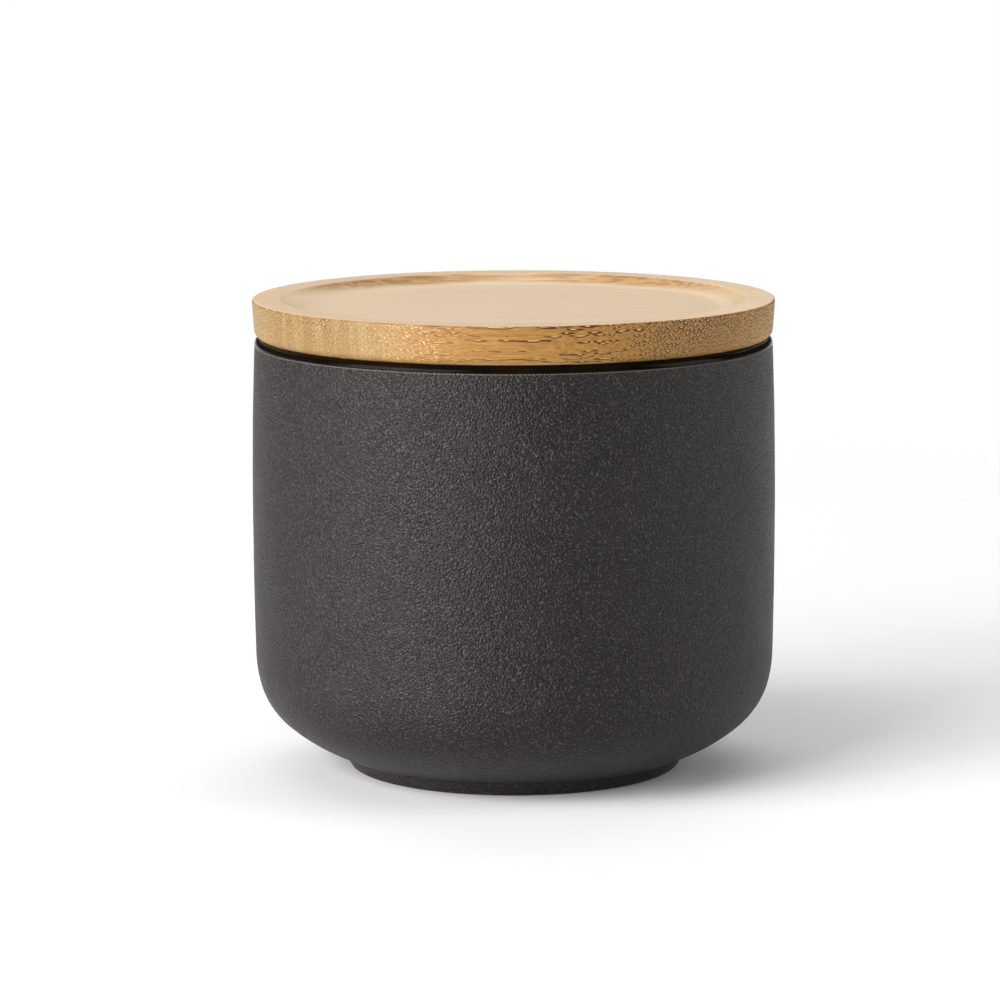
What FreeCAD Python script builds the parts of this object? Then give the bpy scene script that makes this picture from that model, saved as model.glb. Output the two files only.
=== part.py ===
"""Lidded sugar bowl: a thrown stoneware bowl, a turned bamboo lid and the silicone ring that seals it.

Frame: millimetres, +Z up along the bowl's axis, origin at the middle of the foot's underside.
Every piece is turned, so each outline is drawn in the XZ plane, radius along X and height along Z,
and revolved about Z. The bamboo's fibres run along X.
"""

import FreeCAD, Part
import math
import os
import Sketcher

doc = FreeCAD.newDocument("SugarBowl")

# ---------------------------------------------------------------- driving dimensions, millimetres

DIMENSIONS = {
    # bowl, outside
    "rim_level": 68.5,
    "matt_edge_level": 67.25,
    "matt_edge_radius": 40.95,
    "wall_round": 790.0,
    "heel_level": 18.2,
    "heel_radius": 41.05,
    "shoulder_round": 20.0,
    "shoulder_end_level": 13.9,
    "corner_round": 12.35,
    "slope_round": 28.5,
    "notch_level": 2.3,
    "notch_radius": 27.25,
    "foot_radius": 25.9,
    # bowl, inside and underneath
    "bore_radius": 37.2,
    "floor_level": 6.5,
    "floor_corner_round": 14.0,
    "lip_outer_round": 1.25,
    "lip_inner_round": 1.0,
    "foot_recess_radius": 22.6,
    "foot_recess_height": 1.8,
    "foot_recess_round": 0.9,
    "foot_edge_round": 0.6,
    # lid
    "lid_top_level": 74.5,
    "lid_top_radius": 41.12,
    "lid_bottom_radius": 40.77,
    "lid_lower_round": 1.3,
    "lid_upper_round": 0.4,
    "land_inner_radius": 36.4,
    "tray_depth": 1.4,
    "cove_round": 5.0,
    "plug_radius": 35.9,
    "plug_depth": 9.0,
    "plug_edge_round": 0.8,
    "groove_radius": 34.0,
    "groove_top_drop": 2.0,
    "groove_height": 4.8,
    # silicone ring
    "ring_clearance": 0.15,
    "sleeve_thickness": 1.3,
    "fin_tip_radius": 36.98,
    "fin_tip_round": 0.3,
    "fin_root_thickness": 1.0,
    "fin_slope": 0.25,
}

# Dimensions that follow from the driving ones.
DERIVED = {
    "lip_crest_outer": "matt_edge_radius - lip_outer_round",
    "lip_crest_inner": "bore_radius + lip_inner_round",
    "lip_bore_level": "rim_level - lip_inner_round",
    "floor_radius": "bore_radius - floor_corner_round",
    "floor_corner_level": "floor_level + floor_corner_round",
    "cove_inner_radius": "land_inner_radius - sqrt(cove_round ^ 2 - (cove_round - tray_depth) ^ 2)",
    "tray_level": "lid_top_level - tray_depth",
    "plug_level": "rim_level - plug_depth",
    "groove_top": "rim_level - groove_top_drop",
    "groove_bottom": "groove_top - groove_height",
    "sleeve_inner_radius": "groove_radius + ring_clearance",
    "sleeve_outer_radius": "sleeve_inner_radius + sleeve_thickness",
    "sleeve_middle_radius": "sleeve_inner_radius + sleeve_thickness / 2",
    "sleeve_top": "groove_top - ring_clearance",
    "sleeve_bottom": "groove_bottom + ring_clearance",
    "fin_root_top": "sleeve_bottom + fin_root_thickness",
    "fin_edge_bottom": "sleeve_bottom + fin_slope",
    "fin_edge_top": "fin_root_top - fin_slope",
    "fin_edge_half": "(fin_edge_top - fin_edge_bottom) / 2",
    "fin_edge_radius": "fin_tip_radius - fin_tip_round + sqrt(fin_tip_round ^ 2 - fin_edge_half ^ 2)",
    "fin_stack": "sleeve_top - fin_root_top",
}

FINS = 3

sheet = doc.addObject("Spreadsheet::Sheet", "Dimensions")


def fill_sheet():
    """Writes driving values as numbers and derived ones as formulas, each under its alias."""
    cells = [(alias, str(value)) for alias, value in DIMENSIONS.items()]
    cells += [(alias, "=" + formula) for alias, formula in DERIVED.items()]
    for row, (alias, content) in enumerate(cells, start=1):
        sheet.set("A%d" % row, alias)
        sheet.set("B%d" % row, content)
        sheet.setAlias("B%d" % row, alias)
    doc.recompute()


def size(alias):
    return float(sheet.get(alias))


# ---------------------------------------------------------------- sketches

ORIGIN = (-1, 1)
AXIS_OF_TURNING = -2
GROUND = -1


class Corner:
    """A corner of an outline, and the edge that leaves it.

    r and z are aliases, or None on the axis or on the ground. arc is the alias of the next edge's
    radius, or None for a straight edge. smooth makes the edges before and after the corner
    tangent. pins says which coordinates are held by dimensions: "rz", "z" or "". A coordinate
    that isn't held is a number, near enough for the sketch to solve it from.
    """

    def __init__(self, r, z, arc=None, smooth=False, pins="rz"):
        self.r = r
        self.z = z
        self.arc = arc
        self.smooth = smooth
        self.pins = pins

    def point(self):
        values = []
        for value in (self.r, self.z):
            if value is None:
                values.append(0.0)
            elif isinstance(value, str):
                values.append(size(value))
            else:
                values.append(value)
        return FreeCAD.Vector(values[0], values[1], 0)


def outward_arc(start, finish, radius):
    """The shorter arc from start to finish that bulges to the right of its run."""
    chord = finish - start
    middle = (start + finish) * 0.5
    right = FreeCAD.Vector(chord.y, -chord.x, 0).normalize()
    rise = radius - math.sqrt(radius ** 2 - (chord.Length / 2) ** 2)
    return Part.Arc(start, middle + right * rise, finish)


def end_of(sketch, edge, point):
    """Which of an edge's two ends lies at a point."""
    return min((1, 2), key=lambda end: sketch.getPoint(edge, end).distanceToPoint(point))


def hold(sketch, kind, edge, end, alias):
    """Ties an edge's end to a sheet dimension measured from the origin."""
    value = size(alias)
    index = sketch.addConstraint(Sketcher.Constraint(kind, *ORIGIN, edge, end, value))
    sketch.setExpression("Constraints[%d]" % index, "Dimensions." + alias)


def outline_sketch(body, name, corners):
    """A closed, dimensioned outline on the body's XZ plane, its corners in counter-clockwise order."""
    sketch = body.newObject("Sketcher::SketchObject", name)
    plane = [item for item in body.Origin.OriginFeatures if item.Role == "XZ_Plane"][0]
    sketch.AttachmentSupport = (plane, "")
    sketch.MapMode = "FlatFace"
    count = len(corners)
    for number, corner in enumerate(corners):
        start = corner.point()
        finish = corners[(number + 1) % count].point()
        if corner.arc is None:
            sketch.addGeometry(Part.LineSegment(start, finish), False)
        else:
            sketch.addGeometry(outward_arc(start, finish, size(corner.arc)), False)
    for number, corner in enumerate(corners):
        point = corner.point()
        before = (number - 1) % count
        joined = (before, end_of(sketch, before, point), number, end_of(sketch, number, point))
        kind = "Tangent" if corner.smooth else "Coincident"
        sketch.addConstraint(Sketcher.Constraint(kind, *joined))
    for number, corner in enumerate(corners):
        end = end_of(sketch, number, corner.point())
        if corner.r is None:
            sketch.addConstraint(Sketcher.Constraint("PointOnObject", number, end, AXIS_OF_TURNING))
        elif "r" in corner.pins:
            hold(sketch, "DistanceX", number, end, corner.r)
        if corner.z is None:
            sketch.addConstraint(Sketcher.Constraint("PointOnObject", number, end, GROUND))
        elif "z" in corner.pins:
            hold(sketch, "DistanceY", number, end, corner.z)
        if corner.arc is not None:
            radius = Sketcher.Constraint("Radius", number, size(corner.arc))
            index = sketch.addConstraint(radius)
            sketch.setExpression("Constraints[%d]" % index, "Dimensions." + corner.arc)
    doc.recompute()
    return sketch


# ---------------------------------------------------------------- features


def new_body(name):
    body = doc.addObject("PartDesign::Body", name)
    body.Label = name
    return body


def turned(body, kind, name, corners):
    """Revolves an outline about Z: kind is Revolution to add it or Groove to cut it away."""
    before = body.Tip.Shape.Volume if body.Tip else 0.0
    sketch = outline_sketch(body, name + "_outline", corners)
    feature = body.newObject("PartDesign::" + kind, name)
    feature.Profile = sketch
    feature.ReferenceAxis = (sketch, ["V_Axis"])
    feature.Angle = 360
    doc.recompute()
    change = feature.Shape.Volume - before
    if (change > 0) != (kind == "Revolution"):
        raise RuntimeError(name + " changed the volume by %.1f mm3" % change)
    return feature


def ring_edge(shape, radius, level):
    """The name of the circular edge about Z nearest to a radius and a level."""
    def miss(item):
        curve = item[1].Curve
        if curve.TypeId != "Part::GeomCircle":
            return math.inf
        return math.hypot(curve.Radius - radius, curve.Center.z - level)

    number = min(enumerate(shape.Edges, start=1), key=miss)[0]
    return "Edge%d" % number


def rounded(body, name, places, alias):
    """Rounds circular edges: places is a list of (radius alias, level alias)."""
    base = body.Tip
    edges = []
    for radius, level in places:
        height = 0.0 if level is None else size(level)
        edges.append(ring_edge(base.Shape, size(radius), height))
    feature = body.newObject("PartDesign::Fillet", name)
    feature.Base = (base, edges)
    feature.Radius = size(alias)
    feature.setExpression("Radius", "Dimensions." + alias)
    doc.recompute()
    return feature


# ---------------------------------------------------------------- bowl


def make_bowl():
    body = new_body("bowl")
    # Where the corner's round hands over to the slope above the foot; the sketch solves it.
    slope_start = (36.25, 7.29)
    turned(body, "Revolution", "outside", [
        Corner(None, None),
        Corner("foot_radius", None),
        Corner("notch_radius", "notch_level", arc="slope_round"),
        Corner(*slope_start, arc="corner_round", smooth=True, pins=""),
        Corner(40.45, "shoulder_end_level", arc="shoulder_round", smooth=True, pins="z"),
        Corner("heel_radius", "heel_level", arc="wall_round", smooth=True),
        Corner("matt_edge_radius", "matt_edge_level", arc="lip_outer_round"),
        Corner("lip_crest_outer", "rim_level"),
        Corner(None, "rim_level"),
    ])
    turned(body, "Groove", "sugar_space", [
        Corner(None, "floor_level"),
        Corner("floor_radius", "floor_level", arc="floor_corner_round"),
        Corner("bore_radius", "floor_corner_level"),
        Corner("bore_radius", "rim_level"),
        Corner(None, "rim_level"),
    ])
    rounded(body, "lip", [("bore_radius", "rim_level")], "lip_inner_round")
    turned(body, "Groove", "foot_recess", [
        Corner(None, None),
        Corner("foot_recess_radius", None),
        Corner("foot_recess_radius", "foot_recess_height"),
        Corner(None, "foot_recess_height"),
    ])
    rounded(body, "foot_recess_corner", [("foot_recess_radius", "foot_recess_height")],
            "foot_recess_round")
    rounded(body, "foot_edges", [("foot_radius", None), ("foot_recess_radius", None)],
            "foot_edge_round")
    return body


# ---------------------------------------------------------------- lid


def make_lid():
    body = new_body("lid")
    turned(body, "Revolution", "disc", [
        Corner(None, "rim_level"),
        Corner("lid_bottom_radius", "rim_level"),
        Corner("lid_top_radius", "lid_top_level"),
        Corner(None, "lid_top_level"),
    ])
    rounded(body, "lower_edge", [("lid_bottom_radius", "rim_level")], "lid_lower_round")
    rounded(body, "upper_edge", [("lid_top_radius", "lid_top_level")], "lid_upper_round")
    turned(body, "Groove", "tray", [
        Corner(None, "tray_level"),
        Corner("cove_inner_radius", "tray_level", arc="cove_round"),
        Corner("land_inner_radius", "lid_top_level"),
        Corner(None, "lid_top_level"),
    ])
    turned(body, "Revolution", "plug", [
        Corner(None, "plug_level"),
        Corner("plug_radius", "plug_level"),
        Corner("plug_radius", "rim_level"),
        Corner(None, "rim_level"),
    ])
    rounded(body, "plug_edge", [("plug_radius", "plug_level")], "plug_edge_round")
    turned(body, "Groove", "ring_groove", [
        Corner("groove_radius", "groove_bottom"),
        Corner("plug_radius", "groove_bottom"),
        Corner("plug_radius", "groove_top"),
        Corner("groove_radius", "groove_top"),
    ])
    return body


# ---------------------------------------------------------------- silicone ring


def make_lid_seal():
    body = new_body("lid_seal")
    turned(body, "Revolution", "sleeve", [
        Corner("sleeve_inner_radius", "sleeve_bottom"),
        Corner("sleeve_outer_radius", "sleeve_bottom"),
        Corner("sleeve_outer_radius", "sleeve_top"),
        Corner("sleeve_inner_radius", "sleeve_top"),
    ])
    fin = turned(body, "Revolution", "fin", [
        Corner("sleeve_middle_radius", "sleeve_bottom"),
        Corner("fin_edge_radius", "fin_edge_bottom", arc="fin_tip_round"),
        Corner("fin_edge_radius", "fin_edge_top"),
        Corner("sleeve_middle_radius", "fin_root_top"),
    ])
    fins = body.newObject("PartDesign::LinearPattern", "fins")
    fins.Originals = [fin]
    fins.Direction = (fin.Profile[0], ["V_Axis"])
    fins.Length = size("fin_stack")
    fins.setExpression("Length", "Dimensions.fin_stack")
    fins.Occurrences = FINS
    body.Tip = fins
    doc.recompute()
    return body


# ---------------------------------------------------------------- model and files


def check_document():
    """Stops on anything that failed to compute."""
    for item in doc.Objects:
        if "Invalid" in item.State or "Error" in item.State:
            raise RuntimeError(item.Name + " failed: " + ", ".join(item.State))
        if item.TypeId == "Sketcher::SketchObject" and not item.FullyConstrained:
            raise RuntimeError(item.Name + " isn't fully dimensioned")


def write_pieces(pieces):
    """Writes each piece, after all of them have been found sound."""
    for piece in pieces:
        if piece.Shape.isNull() or not piece.Shape.isValid() or len(piece.Shape.Solids) != 1:
            raise RuntimeError(piece.Label + " isn't one valid solid")
    os.makedirs("parts", exist_ok=True)
    for piece in pieces:
        piece.Shape.exportStep("parts/" + piece.Label + ".step")
        print("%-10s %9.1f mm3" % (piece.Label, piece.Shape.Volume))


fill_sheet()
pieces = [make_bowl(), make_lid(), make_lid_seal()]
doc.recompute()
check_document()
write_pieces(pieces)
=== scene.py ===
"""Looks for the lidded sugar bowl: matt stoneware with a glossy lip, a bamboo lid and its silicone ring.

The scene is in metres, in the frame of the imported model: +Z up, the bowl's axis on Z, the lid's
fibres along X. Outlines are drawn in millimetres as (radius, height) and turned about Z, and the
materials of the object measure places in millimetres too.
"""

import math

import bpy
from mathutils import Matrix, Vector, noise


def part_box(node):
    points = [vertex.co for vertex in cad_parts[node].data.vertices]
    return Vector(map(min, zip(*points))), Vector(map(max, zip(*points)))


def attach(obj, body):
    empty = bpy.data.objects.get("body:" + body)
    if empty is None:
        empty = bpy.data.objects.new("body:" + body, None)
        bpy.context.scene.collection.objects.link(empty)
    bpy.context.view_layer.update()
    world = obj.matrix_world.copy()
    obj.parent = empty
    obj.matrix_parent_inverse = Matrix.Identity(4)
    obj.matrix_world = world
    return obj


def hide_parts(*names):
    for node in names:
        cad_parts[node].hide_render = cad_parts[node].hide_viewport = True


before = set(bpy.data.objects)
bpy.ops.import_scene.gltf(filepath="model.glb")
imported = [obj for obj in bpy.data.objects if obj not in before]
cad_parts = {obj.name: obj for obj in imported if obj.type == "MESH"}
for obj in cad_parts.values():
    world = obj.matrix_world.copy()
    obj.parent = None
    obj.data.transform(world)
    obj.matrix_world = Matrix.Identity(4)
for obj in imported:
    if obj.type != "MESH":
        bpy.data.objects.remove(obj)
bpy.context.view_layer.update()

MM = 0.001
SEGMENTS = 384

# ---------------------------------------------------------------- sizes in mm, mostly from the frame

_, BOWL_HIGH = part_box("bowl")
LID_LOW, LID_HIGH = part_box("lid")
SEAL_LOW, SEAL_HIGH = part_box("lid_seal")

RIM = BOWL_HIGH.z / MM
LID_TOP = LID_HIGH.z / MM
LID_RADIUS = LID_HIGH.x / MM
PLUG_BOTTOM = LID_LOW.z / MM
SEAL_BOTTOM = SEAL_LOW.z / MM
SEAL_TOP = SEAL_HIGH.z / MM
SEAL_RADIUS = SEAL_HIGH.x / MM
BORE_RADIUS = 37.2

# The matt coat ends at this height.
MATT_EDGE = RIM - 1.25

# Outside this radius, even a slight slope on the lid belongs to its turned edge.
LID_EDGE_ZONE = LID_RADIUS - 0.92


# ---------------------------------------------------------------- outlines and turning


class Pen:
    """Draws an outline as a list of (radius, height) points and notes where each finish starts."""

    def __init__(self, r, z):
        self.points = [(r, z)]
        self.heading = 0.0
        self.marks = []

    def mark(self, material):
        """What is drawn from here on wears this material slot."""
        self.marks.append((len(self.points) - 1, material))

    def line(self, r, z, step=0.6):
        """A straight run, cut into short steps so that its faces stay nearly square."""
        r0, z0 = self.points[-1]
        length = math.hypot(r - r0, z - z0)
        count = max(1, round(length / step))
        for number in range(1, count + 1):
            share = number / count
            self.points.append((r0 + (r - r0) * share, z0 + (z - z0) * share))
        self.heading = math.atan2(z - z0, r - r0)

    def arc(self, radius, sweep, step=0.6):
        """An arc that leaves along the pen's heading; a positive sweep turns to the left."""
        side = math.copysign(1.0, sweep)
        sweep = math.radians(sweep)
        r0, z0 = self.points[-1]
        centre_r = r0 - side * radius * math.sin(self.heading)
        centre_z = z0 + side * radius * math.cos(self.heading)
        count = max(4, round(abs(sweep) * radius / step))
        for number in range(1, count + 1):
            angle = self.heading + sweep * number / count
            self.points.append((
                centre_r + side * radius * math.sin(angle),
                centre_z - side * radius * math.cos(angle),
            ))
        self.heading += sweep

    def face(self, heading):
        """Turns the pen to a heading in degrees: 0 is outwards and 90 is up."""
        self.heading = math.radians(heading)


def add_to_scene(thing):
    bpy.context.scene.collection.objects.link(thing)


def turned(name, pen, materials, closed=False, shape=None):
    """Turns an outline about Z. An open outline starts and ends on the axis; a closed one is a ring."""
    points = pen.points
    inner = points if closed else points[1:-1]
    vertices = []
    for r, z in inner:
        for number in range(SEGMENTS):
            angle = math.tau * number / SEGMENTS
            place = Vector((r * math.cos(angle), r * math.sin(angle), z))
            if shape is not None:
                place = shape(place)
            vertices.append(place * MM)
    rings = len(inner)
    faces = []
    slots = []
    first_edge = 0 if closed else 1
    starts = pen.marks or [(0, 0)]

    def slot_of(edge):
        return [material for start, material in starts if start <= edge][-1]

    for ring in range(rings if closed else rings - 1):
        low = ring * SEGMENTS
        high = ((ring + 1) % rings) * SEGMENTS
        slot = slot_of(ring + first_edge)
        for number in range(SEGMENTS):
            after = (number + 1) % SEGMENTS
            faces.append((low + number, low + after, high + after, high + number))
            slots.append(slot)
    if not closed:
        for ring, point, slot in ((0, points[0], slot_of(0)), (rings - 1, points[-1], slot_of(rings))):
            centre = len(vertices)
            vertices.append(Vector((0, 0, point[1])) * MM)
            base = ring * SEGMENTS
            for number in range(SEGMENTS):
                after = (number + 1) % SEGMENTS
                corners = (base + number, base + after, centre)
                faces.append(corners[::-1] if ring == 0 else corners)
                slots.append(slot)
    mesh = bpy.data.meshes.new(name)
    mesh.from_pydata(vertices, [], faces)
    mesh.polygons.foreach_set("material_index", slots)
    mesh.polygons.foreach_set("use_smooth", [True] * len(faces))
    for material in materials:
        mesh.materials.append(material)
    mesh.update()
    piece = bpy.data.objects.new(name, mesh)
    add_to_scene(piece)
    return piece


# ---------------------------------------------------------------- node helpers


class Shader:
    """A material under construction: add() makes a node, and the rest are common little trees."""

    def __init__(self, name):
        self.material = bpy.data.materials.new(name)
        self.material.use_nodes = True
        self.tree = self.material.node_tree
        self.tree.nodes.clear()
        self.output = self.add("ShaderNodeOutputMaterial")
        self.principled = self.add("ShaderNodeBsdfPrincipled")
        self.link(self.principled.outputs[0], self.output.inputs["Surface"])
        coordinates = self.add("ShaderNodeTexCoord")
        self.metres = coordinates.outputs["Object"]
        self.facing = coordinates.outputs["Normal"]

    def add(self, kind, settings=None, **inputs):
        node = self.tree.nodes.new(kind)
        for key, value in (settings or {}).items():
            setattr(node, key, value)
        for key, value in inputs.items():
            self.feed(node.inputs[key.replace("_", " ")], value)
        return node

    def link(self, source, target):
        self.tree.links.new(source, target)

    def feed(self, socket, value):
        """Gives an input a node's output or a plain value."""
        if isinstance(value, bpy.types.NodeSocket):
            self.link(value, socket)
        else:
            socket.default_value = value

    def maths(self, operation, first, second=0.0, third=0.0):
        node = self.add("ShaderNodeMath", {"operation": operation})
        for socket, value in zip(node.inputs, (first, second, third)):
            self.feed(socket, value)
        return node.outputs[0]

    def vector(self, operation, first, second):
        node = self.add("ShaderNodeVectorMath", {"operation": operation})
        self.feed(node.inputs[0], first)
        self.feed(node.inputs[1], second)
        return node.outputs["Vector"]

    def millimetres(self):
        """The place on the object, in millimetres."""
        return self.vector("MULTIPLY", self.metres, (1 / MM, 1 / MM, 1 / MM))

    def length(self, vector):
        node = self.add("ShaderNodeVectorMath", {"operation": "LENGTH"})
        self.feed(node.inputs[0], vector)
        return node.outputs["Value"]

    def split(self, vector):
        return self.add("ShaderNodeSeparateXYZ", Vector=vector).outputs

    def join(self, x, y, z):
        return self.add("ShaderNodeCombineXYZ", X=x, Y=y, Z=z).outputs[0]

    def ramp(self, value, low, high, start=0.0, finish=1.0):
        """A smooth step of value from low to high, given out between start and finish."""
        node = self.add("ShaderNodeMapRange", {"interpolation_type": "SMOOTHSTEP"})
        for socket, item in zip(node.inputs, (value, low, high, start, finish)):
            self.feed(socket, item)
        return node.outputs["Result"]

    def noise(self, vector, scale, detail, roughness=0.5):
        node = self.add("ShaderNodeTexNoise", Vector=vector, Scale=scale, Detail=detail,
                        Roughness=roughness)
        return node.outputs["Fac"]

    def blend(self, share, first, second):
        """Mixes two colours by a share from 0 to 1."""
        node = self.add("ShaderNodeMix", {"data_type": "RGBA"})
        self.feed(node.inputs[0], share)
        self.feed(node.inputs[6], first)
        self.feed(node.inputs[7], second)
        return node.outputs[2]

    def bump(self, height, distance, normal=None):
        """A bump whose full height is a distance in metres."""
        node = self.add("ShaderNodeBump", Height=height, Distance=distance, Strength=1.0)
        if normal is not None:
            self.link(normal, node.inputs["Normal"])
        return node.outputs[0]

    def finish(self, colour, roughness, normal=None, **values):
        self.feed(self.principled.inputs["Base Color"], colour)
        self.feed(self.principled.inputs["Roughness"], roughness)
        if normal is not None:
            self.link(normal, self.principled.inputs["Normal"])
        for key, value in values.items():
            self.principled.inputs[key.replace("_", " ")].default_value = value
        return self.material


def rgb(red, green, blue):
    """A colour picked as 8-bit display values, turned into the linear ones that nodes use."""
    linear = []
    for channel in (red, green, blue):
        share = channel / 255
        linear.append(share / 12.92 if share <= 0.04045 else ((share + 0.055) / 1.055) ** 2.4)
    return (*linear, 1.0)


# ---------------------------------------------------------------- stoneware


def matt_stoneware():
    """Charcoal engobe: grain that catches the light, painted glints as pale specks, faint clouds and a
    painted highlight along its top edge.
    """
    shader = Shader("matt_stoneware")
    mm = shader.millimetres()
    cloud = shader.noise(mm, 0.12, 3.0)
    glint_speck = shader.noise(mm, 3.2, 1.0)
    tone = shader.blend(shader.ramp(cloud, 0.35, 0.65), rgb(18, 15, 13), rgb(22, 19, 17))
    # The pale specks are painted glints on the grain.
    tone = shader.blend(shader.ramp(glint_speck, 0.56, 0.68), tone, rgb(58, 55, 52))
    # A paler band just below the coat's top edge is a painted highlight on its rounding.
    edge = shader.ramp(shader.split(mm)[2], MATT_EDGE - 0.14, MATT_EDGE - 0.02)
    tone = shader.blend(edge, tone, rgb(72, 68, 64))
    roughness = shader.ramp(cloud, 0.3, 0.7, 0.43, 0.49)
    cells = shader.add("ShaderNodeTexVoronoi", {"voronoi_dimensions": "3D"}, Scale=3.2, Vector=mm)
    grain = shader.maths("MULTIPLY_ADD", cells.outputs["Distance"], -0.6, shader.noise(mm, 2.6, 1.0))
    normal = shader.bump(shader.noise(mm, 0.8, 1.0), 0.03 * MM)
    normal = shader.bump(grain, 0.2 * MM, normal)
    return shader.finish(tone, roughness, normal, Specular_IOR_Level=0.245)


def gloss_glaze(name, gloss):
    """Black-brown glaze with the soft waves of a fired surface; gloss is its specular level."""
    shader = Shader(name)
    mm = shader.millimetres()
    pool = shader.noise(mm, 0.2, 3.0)
    tone = shader.blend(shader.ramp(pool, 0.3, 0.7), rgb(9, 6, 3), rgb(17, 12, 6))
    roughness = shader.ramp(shader.noise(mm, 0.6, 2.0), 0.3, 0.7, 0.13, 0.2)
    waves = shader.noise(mm, 0.25, 2.0)
    return shader.finish(tone, roughness, shader.bump(waves, 0.06 * MM), Specular_IOR_Level=gloss)


def bare_clay():
    """The unglazed foot ring that the bowl stands on."""
    shader = Shader("bare_clay")
    mm = shader.millimetres()
    grit = shader.noise(mm, 2.5, 4.0, 0.65)
    tone = shader.blend(shader.ramp(grit, 0.3, 0.7), rgb(62, 55, 49), rgb(88, 80, 72))
    return shader.finish(tone, shader.ramp(grit, 0.3, 0.7, 0.75, 0.9), shader.bump(grit, 0.1 * MM))


# ---------------------------------------------------------------- bamboo

# The width and the height of one diamond of the pattern, in mm, as it is at the lid's top.
BUNDLE_STEP = 0.92
ROW_STEP = 1.18


def bundles(shader, y, z):
    """Vascular bundles in a diamond pattern across the fibres: dark caps beside and below a pale vessel.

    The rows get closer and the bundles smaller towards the culm's skin, which is the lid's underside.
    Gives out how dark and how pale each point is, and a number from 0 to 1 that differs by bundle.
    """
    depth = shader.maths("SUBTRACT", LID_TOP, z)
    packed = shader.maths("MULTIPLY_ADD", shader.maths("MULTIPLY", depth, depth), 0.06, depth)
    across = shader.maths("DIVIDE", y, BUNDLE_STEP)
    down = shader.maths("DIVIDE", packed, ROW_STEP)
    first = shader.maths("ADD", across, down)
    second = shader.maths("SUBTRACT", across, down)
    cells = shader.add("ShaderNodeTexVoronoi", {"voronoi_dimensions": "2D"}, Scale=1.0, Randomness=0.45,
                       Vector=shader.join(first, second, 0.0))
    middle = shader.split(cells.outputs["Position"])
    away_first = shader.maths("SUBTRACT", first, middle[0])
    away_second = shader.maths("SUBTRACT", second, middle[1])
    away_y = shader.maths("MULTIPLY", shader.maths("ADD", away_first, away_second), BUNDLE_STEP / 2)
    away_down = shader.maths("MULTIPLY", shader.maths("SUBTRACT", away_first, away_second), ROW_STEP / 2)
    side = shader.maths("ABSOLUTE", away_y)
    chance = shader.split(cells.outputs["Color"])
    size = shader.ramp(depth, 0.0, 5.0, 0.92, 0.68)
    size = shader.maths("MULTIPLY", size, shader.maths("MULTIPLY_ADD", chance[0], 0.5, 0.75))

    def spot(sideways, deeper, half_width, half_height, blur):
        """A soft ellipse, a given way from the bundle's middle, and its mirror image across the middle."""
        high = shader.maths("DIVIDE", shader.maths("SUBTRACT", away_down, deeper), half_height)
        wide = shader.maths("DIVIDE", shader.maths("SUBTRACT", side, sideways), half_width)
        reach = shader.maths("DIVIDE", shader.length(shader.join(high, wide, 0.0)), size)
        return shader.ramp(reach, 1.0 - blur, 1.0 + blur, 1.0, 0.0)

    dark = shader.maths("MAXIMUM", spot(0.22, 0.0, 0.14, 0.19, 0.35), spot(0.0, 0.2, 0.2, 0.1, 0.4))
    pale = spot(0.0, -0.02, 0.105, 0.075, 0.4)
    return dark, pale, chance[1]


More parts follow.
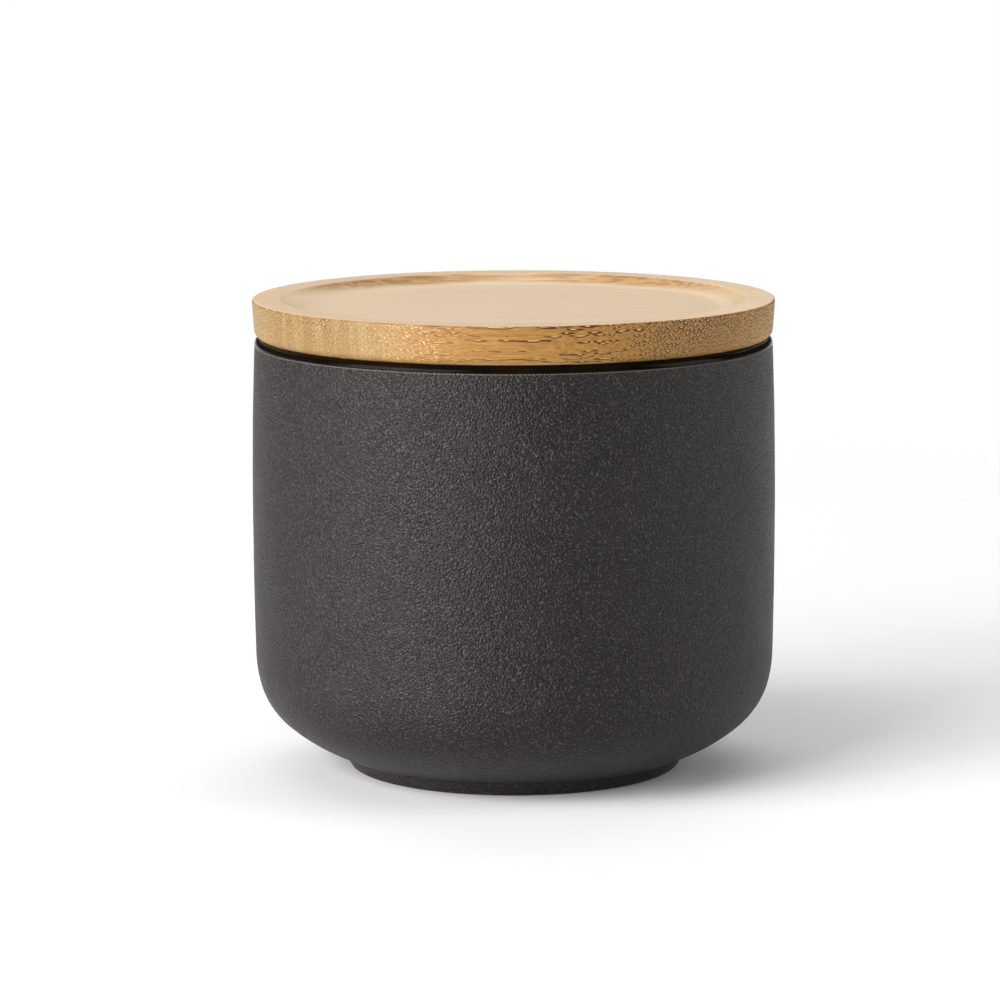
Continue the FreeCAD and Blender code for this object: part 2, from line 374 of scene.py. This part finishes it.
def bamboo():
    """Flat-sawn bamboo with its fibres along X, as a solid: end grain shows bundles, the faces streaks."""
    shader = Shader("bamboo")
    mm = shader.millimetres()

    # Fibres wander as they run along X: slowly over centimetres, and again over a few millimetres.
    slow = shader.vector("MULTIPLY", mm, (0.03, 0.08, 0.12))
    drift = shader.add("ShaderNodeTexNoise", Vector=slow, Scale=1.0, Detail=0.0).outputs["Color"]
    drift = shader.vector("MULTIPLY", shader.vector("SUBTRACT", drift, (0.5, 0.5, 0.5)), (0, 1.6, 1.2))
    quick = shader.vector("MULTIPLY", mm, (0.28, 0.1, 0.3))
    kink = shader.add("ShaderNodeTexNoise", Vector=quick, Scale=1.0, Detail=1.0).outputs["Color"]
    kink = shader.vector("MULTIPLY", shader.vector("SUBTRACT", kink, (0.5, 0.5, 0.5)), (0, 1.8, 0.7))
    place = shader.vector("ADD", mm, shader.vector("MULTIPLY", drift, (1, 1, 0.1)))
    x, y, z = shader.split(shader.vector("ADD", shader.vector("ADD", mm, drift), kink))
    dark, pale, lot = bundles(shader, y, z)

    # Fine fibres, and slow changes of tone from one growth layer to the next.
    thread = shader.noise(shader.vector("MULTIPLY", place, (0.06, 4.5, 4.5)), 1.0, 3.0, 0.6)
    layer = shader.noise(shader.vector("MULTIPLY", place, (0.01, 0.45, 0.9)), 1.0, 2.0)
    streak = shader.noise(shader.vector("MULTIPLY", place, (0.03, 0.9, 3.0)), 1.0, 2.0)

    fibre = shader.ramp(thread, 0.3, 0.7)
    line = shader.ramp(streak, 0.4, 0.62)

    # Sanded faces are pale, and paler in the tray, deeper in the wood.
    deep = shader.ramp(shader.split(mm)[2], LID_TOP - 1.3, LID_TOP - 0.2, 1.0, 0.0)
    land = shader.blend(fibre, rgb(204, 174, 142), rgb(218, 191, 160))
    land = shader.blend(shader.ramp(x, 12.0, 34.0, 0.0, 0.5), land, rgb(232, 210, 181))
    tray = shader.blend(fibre, rgb(206, 183, 152), rgb(220, 201, 174))
    face = shader.blend(deep, land, tray)
    face = shader.blend(shader.ramp(layer, 0.35, 0.65, 0.0, 0.5), face, rgb(214, 184, 149))

    # Painted light and shade on the cove's two ends, to even out the lamps on the left: greyer at +X, which
    # faces them, and paler at -X, which faces away.
    normal_x, normal_y, normal_z = shader.split(shader.facing)
    face = shader.blend(shader.ramp(normal_x, -0.1, -0.5), face, rgb(190, 164, 130))
    face = shader.blend(shader.ramp(normal_x, 0.1, 0.5), face, rgb(234, 209, 176))

    # Where the cove cuts across the layers, it shows growth lines and is darker, most of all towards its
    # two ends.
    cut = shader.ramp(shader.maths("ABSOLUTE", normal_y), 0.05, 0.35)
    middle = shader.blend(line, rgb(173, 137, 95), rgb(202, 172, 134))
    ends = shader.blend(line, rgb(147, 105, 50), rgb(176, 138, 84))
    lines = shader.blend(shader.ramp(shader.maths("ABSOLUTE", x), 4.0, 18.0), middle, ends)
    face = shader.blend(cut, face, lines)

    # The turned edge soaks up oil, and is darker than the faces: yellower at -X and lighter at +X.
    edge = shader.blend(fibre, rgb(128, 88, 38), rgb(157, 117, 59))
    yellow = shader.blend(fibre, rgb(133, 106, 66), rgb(148, 123, 82))
    edge = shader.blend(shader.ramp(x, -26.0, -8.0), yellow, edge)
    light = shader.blend(fibre, rgb(158, 118, 58), rgb(174, 137, 74))
    edge = shader.blend(shader.ramp(x, 29.0, 40.0), edge, light)

    # The turning tool has left faint upright marks on the -X part of the edge.
    chatter = shader.noise(shader.vector("MULTIPLY", mm, (0.55, 0.55, 0.04)), 1.0, 1.0)
    chatter = shader.ramp(chatter, 0.4, 0.6)
    chatter = shader.maths("MULTIPLY", chatter, shader.ramp(x, -40.0, -34.0, 0.0, 0.45))
    chatter = shader.maths("MULTIPLY", chatter, shader.ramp(x, -26.0, -16.0, 1.0, 0.0))
    edge = shader.blend(chatter, edge, rgb(110, 80, 42))

    # How far a point belongs to that edge: by its slope, and less of a slope will do on the rounding.
    level = shader.maths("ABSOLUTE", normal_z)
    inside = shader.ramp(level, 0.2, 0.75, 1.0, 0.0)
    rounding = shader.ramp(level, 0.5, 0.97, 1.0, 0.0)
    reach = shader.length(shader.vector("MULTIPLY", mm, (1, 1, 0)))
    outside = shader.ramp(reach, LID_EDGE_ZONE - 0.2, LID_EDGE_ZONE + 0.2)
    mix = shader.add("ShaderNodeMix", {"data_type": "FLOAT"})
    for number, value in ((0, outside), (2, inside), (3, rounding)):
        shader.feed(mix.inputs[number], value)
    upright = mix.outputs[0]
    tone = shader.blend(upright, face, edge)

    # Bundles show on the edge, and more strongly towards +X, where the marks are partly painted shade and
    # highlight of their relief under light from the left. Where it runs along the fibres, only some reach
    # the surface.
    clear = shader.ramp(x, -20.0, 8.0, 0.3, 1.0)
    clear = shader.maths("MAXIMUM", clear, shader.ramp(x, -30.0, -22.0, 0.6, 0.0))
    strength = shader.maths("MULTIPLY", clear, shader.ramp(upright, 0.0, 0.6, 0.02, 1.0))
    along = shader.ramp(shader.maths("ABSOLUTE", normal_y), 0.8, 0.98)
    hidden = shader.maths("MULTIPLY", along, shader.ramp(lot, 0.45, 0.6, 1.0, 0.0))
    strength = shader.maths("MULTIPLY", strength, shader.maths("SUBTRACT", 1.0, hidden))
    tone = shader.blend(shader.maths("MULTIPLY", dark, strength), tone, rgb(68, 35, 8))
    tone = shader.blend(shader.maths("MULTIPLY", pale, strength), tone, rgb(204, 173, 117))

    # Short pale flecks on the -X side of the edge's middle are painted glints of torn fibres catching the
    # light.
    torn = shader.noise(shader.vector("MULTIPLY", place, (1.3, 4.0, 4.0)), 1.0, 1.0)
    zone = shader.maths("MULTIPLY", shader.ramp(x, -30.0, -16.0), shader.ramp(x, -14.0, -6.0, 1.0, 0.0))
    zone = shader.maths("MULTIPLY", zone, upright)
    glint_fleck = shader.maths("MULTIPLY", shader.ramp(torn, 0.6, 0.72, 0.0, 0.55), zone)
    tone = shader.blend(glint_fleck, tone, rgb(214, 190, 142))

    roughness = shader.ramp(thread, 0.3, 0.7, 0.46, 0.56)
    relief = shader.maths("MULTIPLY", shader.maths("SUBTRACT", pale, dark), strength)
    relief = shader.maths("MULTIPLY_ADD", thread, 0.3, relief)
    return shader.finish(tone, roughness, shader.bump(relief, 0.04 * MM), Specular_IOR_Level=0.3)


def silicone():
    """Milky silicone: soft, a little cloudy and slightly glossy."""
    shader = Shader("silicone")
    mm = shader.millimetres()
    cloud = shader.noise(mm, 0.4, 2.0)
    tone = shader.blend(shader.ramp(cloud, 0.3, 0.7), rgb(196, 194, 187), rgb(212, 210, 203))
    roughness = shader.ramp(shader.noise(mm, 2.0, 2.0), 0.3, 0.7, 0.35, 0.48)
    return shader.finish(tone, roughness, shader.bump(cloud, 0.04 * MM), Subsurface_Weight=0.25,
                         Subsurface_Scale=2 * MM)


# ---------------------------------------------------------------- bowl


def thrown(place):
    """The slight unevenness of a bowl shaped on a wheel, in millimetres. It fades out at lip and foot."""
    lip_margin, foot_margin, fade_height = 2, 3, 8
    reach = math.hypot(place.x, place.y)
    below_lip = min(1.0, max(0.0, (RIM - lip_margin - place.z) / fade_height))
    above_foot = min(1.0, max(0.0, (place.z - foot_margin) / fade_height))
    fade = below_lip * above_foot
    if reach < BORE_RADIUS - 1 or fade == 0.0:
        return place
    swell = noise.noise(place * 0.045) * 0.06 + noise.noise(place * 0.15) * 0.02
    stretch = 1 + swell * fade / reach
    return Vector((place.x * stretch, place.y * stretch, place.z))


def make_bowl():
    """A foot ring, then slope, corner, shoulder and wall as arcs that run into each other, and the lip."""
    recess_height, recess_radius, recess_round = 1.8, 22.6, 0.9
    foot_radius, foot_top_radius, foot_top = 25.33, 27.06, 1.98
    foot_inner_round, foot_outer_round, hollow = 0.6, 1.0, 1.0
    lip_radius, lip_round, coat, coat_round = 40.79, 1.09, 0.16, 0.13
    bore_round, floor_level, floor_round = 1.0, 6.5, 14.0
    matt, lip, clay, inside = 0, 1, 2, 3
    pen = Pen(0, recess_height)
    pen.mark(matt)
    pen.line(recess_radius - recess_round, recess_height, 2.5)
    pen.arc(recess_round, -90, 0.2)
    pen.mark(clay)
    pen.line(recess_radius, foot_inner_round)
    pen.arc(foot_inner_round, 90, 0.15)
    pen.line(foot_radius, 0)

    # The coat starts part of the way round the foot's outer rounding.
    pen.arc(foot_outer_round, 12, 0.1)
    pen.mark(matt)
    pen.arc(foot_outer_round, 47.6, 0.15)
    pen.line(foot_top_radius, foot_top, 0.3)
    pen.arc(hollow, -40.2, 0.12)

    # Slope, corner, shoulder and wall: each is a radius and the angle that it turns through.
    pen.arc(28.5, 20.4)
    pen.arc(12.35, 36.2)
    pen.arc(20.0, 12.37)
    pen.arc(790.0, 3.558, 1.0)

    # The coat ends in a rounded step, and the lip stands out again above it.
    pen.arc(coat_round, 88, 0.03)
    pen.mark(lip)
    pen.arc(coat - coat_round, -90, 0.01)
    pen.line(lip_radius, RIM - lip_round, 0.1)
    pen.face(90)
    pen.arc(lip_round, 90, 0.1)
    pen.line(BORE_RADIUS + bore_round, RIM, 0.3)
    pen.mark(inside)
    pen.arc(bore_round, 90, 0.1)
    pen.line(BORE_RADIUS, floor_level + floor_round, 1.6)
    pen.arc(floor_round, -90, 1.0)
    pen.line(0, floor_level, 2.0)
    # The lip's copy of the glaze reflects far less than the inside's: a shaded copy, painted shade on the
    # lip.
    lip_glaze = gloss_glaze("lip_glaze", 0.04)
    inner_glaze = gloss_glaze("inner_glaze", 0.3)
    finishes = [matt_stoneware(), lip_glaze, bare_clay(), inner_glaze]
    piece = turned("bowl_body", pen, finishes, shape=thrown)
    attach(piece, "bowl")
    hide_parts("bowl")


# ---------------------------------------------------------------- lid


def make_lid():
    """A turned disc: plug with its groove below, a shallow tray with a cove above."""
    plug_radius, plug_round, plug_root_round = 35.9, 0.8, 0.3
    groove_radius, groove_play, groove_round = 34.0, 0.15, 0.15
    bottom_radius, lower_round, upper_round, side_inset = 40.77, 1.3, 0.4, 0.02
    land_inner, land_round, cove, cove_depth = 36.8, 1.0, 8.0, 1.25
    groove_bottom, groove_top = SEAL_BOTTOM - groove_play, SEAL_TOP + groove_play
    side_lean = math.degrees(math.atan2(LID_RADIUS - bottom_radius, LID_TOP - RIM))
    cove_turn = math.degrees(math.acos(1 - cove_depth / cove))
    pen = Pen(0, PLUG_BOTTOM)
    pen.line(plug_radius - plug_round, PLUG_BOTTOM, 1.2)
    pen.arc(plug_round, 90, 0.15)
    pen.line(plug_radius, groove_bottom - groove_round, 0.4)
    pen.arc(groove_round, 90, 0.05)
    pen.line(groove_radius, groove_bottom, 0.4)
    pen.line(groove_radius, groove_top, 0.6)
    pen.line(plug_radius - groove_round, groove_top, 0.4)
    pen.arc(groove_round, 90, 0.05)
    pen.line(plug_radius, RIM - plug_root_round, 0.4)
    pen.arc(plug_root_round, -90, 0.1)
    pen.line(bottom_radius - lower_round, RIM, 0.6)
    pen.arc(lower_round, 90 - side_lean, 0.12)
    pen.line(LID_RADIUS - side_inset, LID_TOP - upper_round, 0.35)
    pen.arc(upper_round, 90 + side_lean, 0.08)
    pen.line(land_inner, LID_TOP, 0.4)
    pen.arc(land_round, cove_turn, 0.1)
    pen.arc(cove, -cove_turn, 0.2)
    tray_level = pen.points[-1][1]
    pen.line(0, tray_level, 1.0)
    piece = turned("lid_disc", pen, [bamboo()])
    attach(piece, "lid")
    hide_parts("lid")


def make_seal():
    """A sleeve with three fins that taper to rounded tips."""
    sleeve_inner, sleeve_outer = 34.15, 35.45
    fins, root, tip, tip_round = 3, 1.0, 0.5, 0.25
    height = SEAL_TOP - SEAL_BOTTOM
    pitch = (height - root) / (fins - 1)
    pen = Pen(sleeve_inner, SEAL_BOTTOM)
    pen.line(sleeve_outer, SEAL_BOTTOM, 0.3)
    for number in range(fins):
        foot = SEAL_BOTTOM + number * pitch
        if number:
            pen.line(sleeve_outer, foot, 0.2)
        pen.line(SEAL_RADIUS - tip_round, foot + (root - tip) / 2, 0.2)
        pen.face(0)
        pen.arc(tip_round, 180, 0.08)
        pen.line(sleeve_outer, foot + root, 0.2)
    pen.line(sleeve_inner, SEAL_TOP, 0.3)

    # The closed outline's last stretch, back to its start, is left out here.
    pen.line(sleeve_inner, SEAL_BOTTOM + 0.3, 0.5)
    piece = turned("seal_ring", pen, [silicone()], closed=True)
    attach(piece, "seal")
    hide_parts("lid_seal")


# ---------------------------------------------------------------- stage, light and camera


def make_floor():
    """A pale table top that melts into the white of the studio, so that no edge of it shows."""
    shader = Shader("floor")
    tone = shader.noise(shader.metres, 3.0, 2.0)
    shader.finish(shader.blend(tone, rgb(244, 244, 243), rgb(248, 248, 247)), 0.8)
    away = shader.length(shader.vector("MULTIPLY", shader.metres, (1, 1, 0)))
    near = shader.ramp(away, 0.05, 0.12, 1.0, 0.55)
    far = shader.ramp(away, 0.12, 0.45, 1.0, 0.0)
    shader.feed(shader.principled.inputs["Alpha"], shader.maths("MULTIPLY", near, far))
    reach = 0.5
    mesh = bpy.data.meshes.new("floor")
    corners = [(-reach, -reach, 0), (reach, -reach, 0), (reach, reach, 0), (-reach, reach, 0)]
    mesh.from_pydata(corners, [], [(0, 1, 2, 3)])
    mesh.materials.append(shader.material)
    piece = bpy.data.objects.new("floor", mesh)
    add_to_scene(piece)


def softbox(name, bearing, height, width, depth, watts, tint=(1, 1, 1)):
    """A rectangular lamp, a metre off on plan and facing the bowl.

    Its bearing is in degrees from the front, counted to the right.
    """
    angle = math.radians(bearing)
    lamp = bpy.data.lights.new(name, "AREA")
    lamp.shape = "RECTANGLE"
    lamp.size = width
    lamp.size_y = depth
    lamp.energy = watts
    lamp.color = tint
    holder = bpy.data.objects.new(name, lamp)
    holder.location = (math.sin(angle), -math.cos(angle), height)
    middle = Vector((0, 0, LID_TOP * MM / 2))
    holder.rotation_euler = (middle - holder.location).to_track_quat("-Z", "Y").to_euler()
    add_to_scene(holder)


def make_world():
    """White below the horizon, as a wide table top would be, and a dim room above it."""
    world = bpy.data.worlds.new("studio")
    world.use_nodes = True
    tree = world.node_tree
    background = tree.nodes["Background"]
    direction = tree.nodes.new("ShaderNodeTexCoord")
    height = tree.nodes.new("ShaderNodeSeparateXYZ")
    shade = tree.nodes.new("ShaderNodeMapRange")
    tree.links.new(direction.outputs["Generated"], height.inputs[0])
    tree.links.new(height.outputs["Z"], shade.inputs["Value"])
    tree.links.new(shade.outputs["Result"], background.inputs["Strength"])
    for socket, value in (("From Min", -0.01), ("From Max", 0.03), ("To Min", 1.0), ("To Max", 0.04)):
        shade.inputs[socket].default_value = value
    background.inputs["Color"].default_value = (1, 1, 1, 1)
    bpy.context.scene.world = world


def make_light():
    """Two softboxes on the left, a weaker one right, a wide one high behind, and a soft sun from above."""
    low = 0.35
    softbox("left_front", -40, low, width=0.5, depth=0.9, watts=13.9)
    softbox("left", -65, low, width=0.5, depth=0.9, watts=13.0, tint=(1, 0.965, 0.935))
    softbox("right", 85, low, width=0.6, depth=0.9, watts=6.1, tint=(1, 0.975, 0.95))
    softbox("high", 180, height=1.0, width=2.0, depth=0.6, watts=9.0)
    lamp = bpy.data.lights.new("above", "SUN")
    lamp.angle = 1.2
    lamp.energy = 0.45
    add_to_scene(bpy.data.objects.new("above", lamp))


def make_camera():
    """The photograph's view: a long lens, a little above the lid. The three angles are in radians."""
    distance, height, lens = 0.7061, 0.1511, 162.46
    pitch, yaw, roll = 0.15305, -0.00312, 0.0030
    ahead = Vector((math.sin(yaw) * math.cos(pitch), math.cos(yaw) * math.cos(pitch), -math.sin(pitch)))
    right = Vector((math.cos(yaw), -math.sin(yaw), 0))
    up = right.cross(ahead)
    right, up = (right * math.cos(roll) - up * math.sin(roll), up * math.cos(roll) + right * math.sin(roll))
    data = bpy.data.cameras.new("camera")
    data.lens = lens
    data.sensor_width = 36
    data.clip_start = 0.01
    camera = bpy.data.objects.new("camera", data)
    axes = Matrix((right, up, -ahead)).transposed().to_4x4()
    axes.translation = Vector((0, -distance, height))
    camera.matrix_world = axes
    add_to_scene(camera)
    bpy.context.scene.camera = camera


make_bowl()
make_lid()
make_seal()
make_floor()
make_world()
make_light()
make_camera()
bpy.context.scene.view_settings.view_transform = "Standard"
